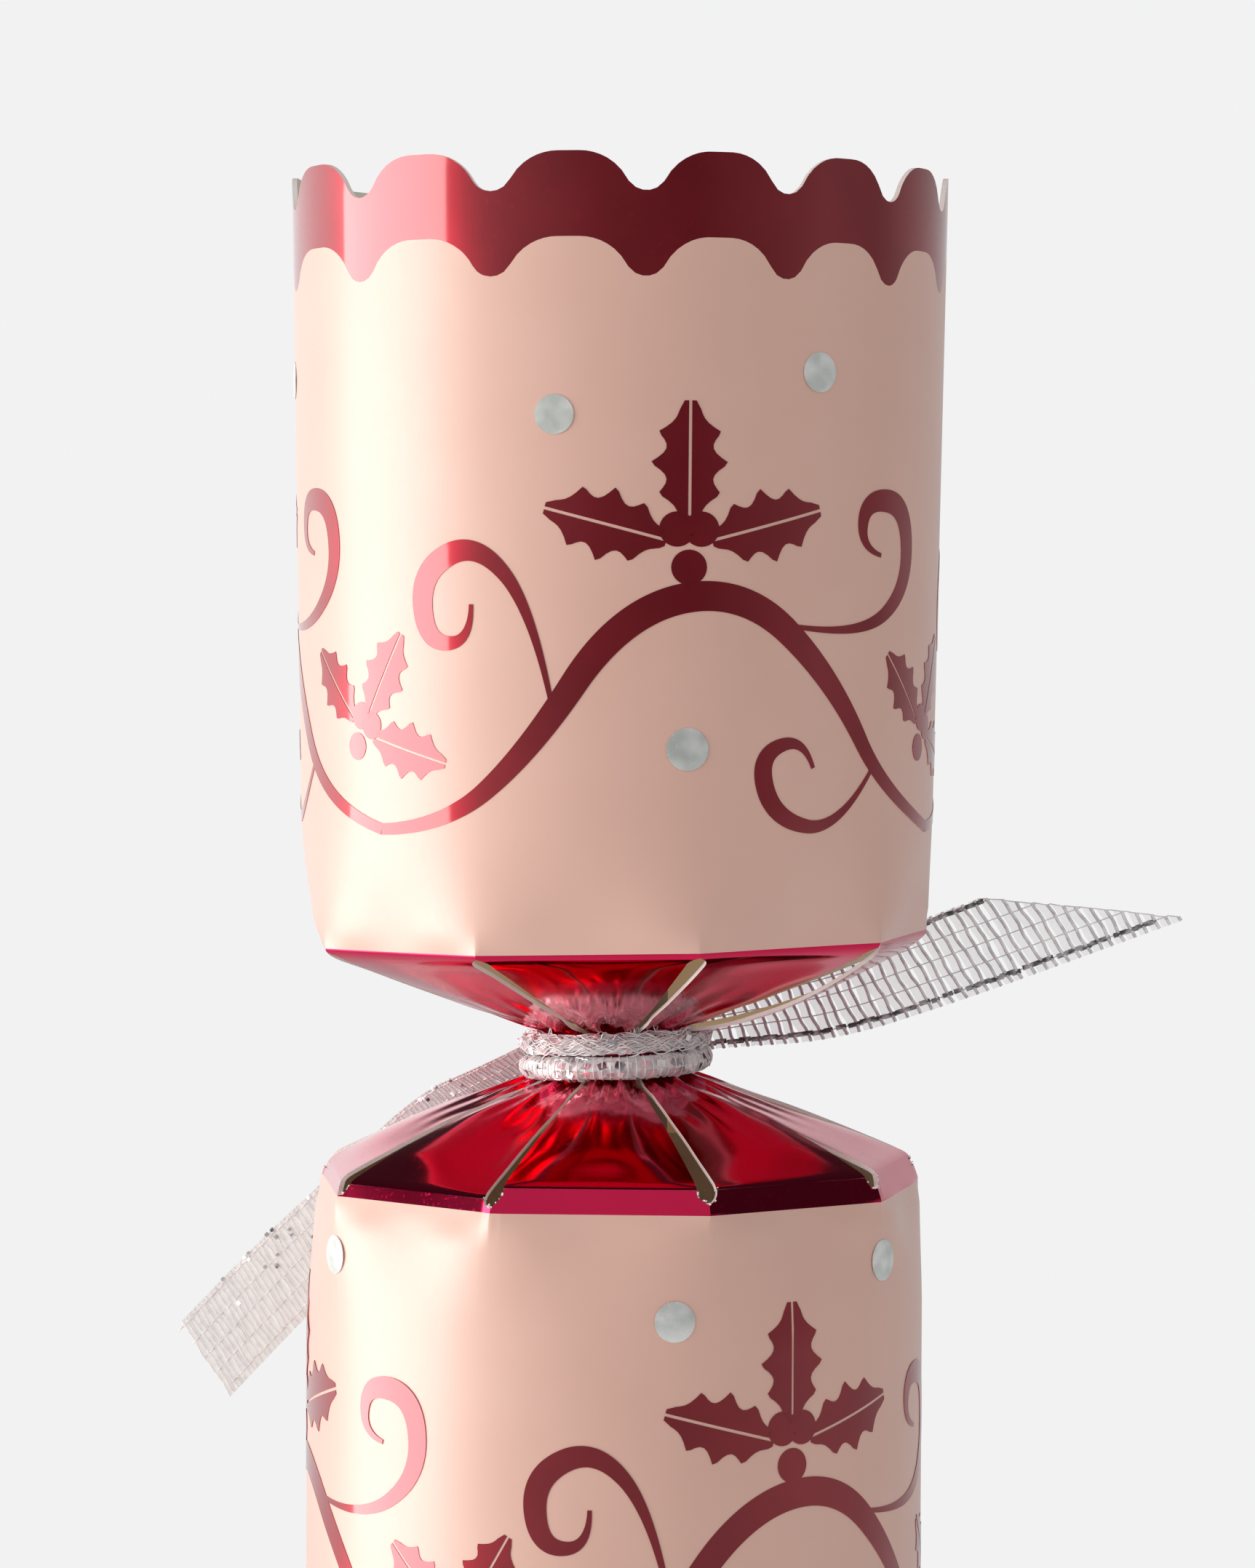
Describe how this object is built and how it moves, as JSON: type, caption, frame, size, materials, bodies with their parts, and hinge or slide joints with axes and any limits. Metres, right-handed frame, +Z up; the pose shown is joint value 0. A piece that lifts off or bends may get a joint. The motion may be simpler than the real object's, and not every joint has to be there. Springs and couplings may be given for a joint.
{
  "type": "christmas cracker",
  "caption": "Pull-apart card cracker with scalloped flared ends, foil strip necks choked by silver mesh ribbon, and a snap and small gifts in its barrel.",
  "frame": {"origin": "middle of the lower rim, on the surface that the cracker stands on", "axes": "+Z up along the cracker from the lower end to the upper end, -Y the pictured front, +Y the glued seam and the knots"},
  "size_m": [0.0917, 0.054, 0.3],
  "materials": {
    "printed_card": "satin blush card with burgundy and silver foil print",
    "neck_foil": "mirror-bright crimson foil on card",
    "liner_card": "matt grey card",
    "core_card": "matt brown card",
    "ribbon": "sheer silver mesh with metallic thread",
    "snap_card": "matt grey-brown card",
    "snap_charge": "gritty dark coating",
    "snap_paper": "matt white paper",
    "tissue": "thin crinkled tissue",
    "motto_paper": "plain uncoated paper",
    "turned_wood": "waxed turned beech"
  },
  "bodies": {
    "lower_end": {"lower_end_wrap": "printed_card", "lower_end_liner": "liner_card", "lower_end_neck_strips": "neck_foil", "lower_tie_winding": "ribbon", "lower_tie_knot": "ribbon", "lower_tie_right_tail": "ribbon", "lower_tie_left_tail": "ribbon", "snap_lower_strip": "snap_card", "snap_charge": "snap_charge", "snap_sleeve": "snap_paper"},
    "barrel": {"barrel_wrap": "printed_card", "barrel_core": "core_card", "barrel_upper_neck_strips": "neck_foil", "barrel_lower_neck_strips": "neck_foil"},
    "upper_end": {"upper_end_wrap": "printed_card", "upper_end_liner": "liner_card", "upper_end_neck_strips": "neck_foil", "upper_tie_winding": "ribbon", "upper_tie_knot": "ribbon", "upper_tie_right_tail": "ribbon", "upper_tie_left_tail": "ribbon", "snap_upper_strip": "snap_card"},
    "paper_hat": {"paper_hat": "tissue"},
    "motto": {"motto_slip": "motto_paper"},
    "prize": {"spinning_top": "turned_wood"}
  },
  "joints": [
    {"name": "lower_neck_pull", "type": "slide", "parent": "lower_end", "child": "barrel", "axis": [0, 0, 1], "range_m": [0, 0.12]},
    {"name": "upper_neck_pull", "type": "slide", "parent": "barrel", "child": "upper_end", "axis": [0, 0, 1], "range_m": [0, 0.12]},
    {"name": "hat_slide", "type": "slide", "parent": "barrel", "child": "paper_hat", "axis": [0, 0, 1], "range_m": [0, 0.062]},
    {"name": "motto_slide", "type": "slide", "parent": "barrel", "child": "motto", "axis": [0, 0, 1], "range_m": [0, 0.088]},
    {"name": "prize_slide", "type": "slide", "parent": "barrel", "child": "prize", "axis": [0, 0, 1], "range_m": [0, 0.116]}
  ]
}
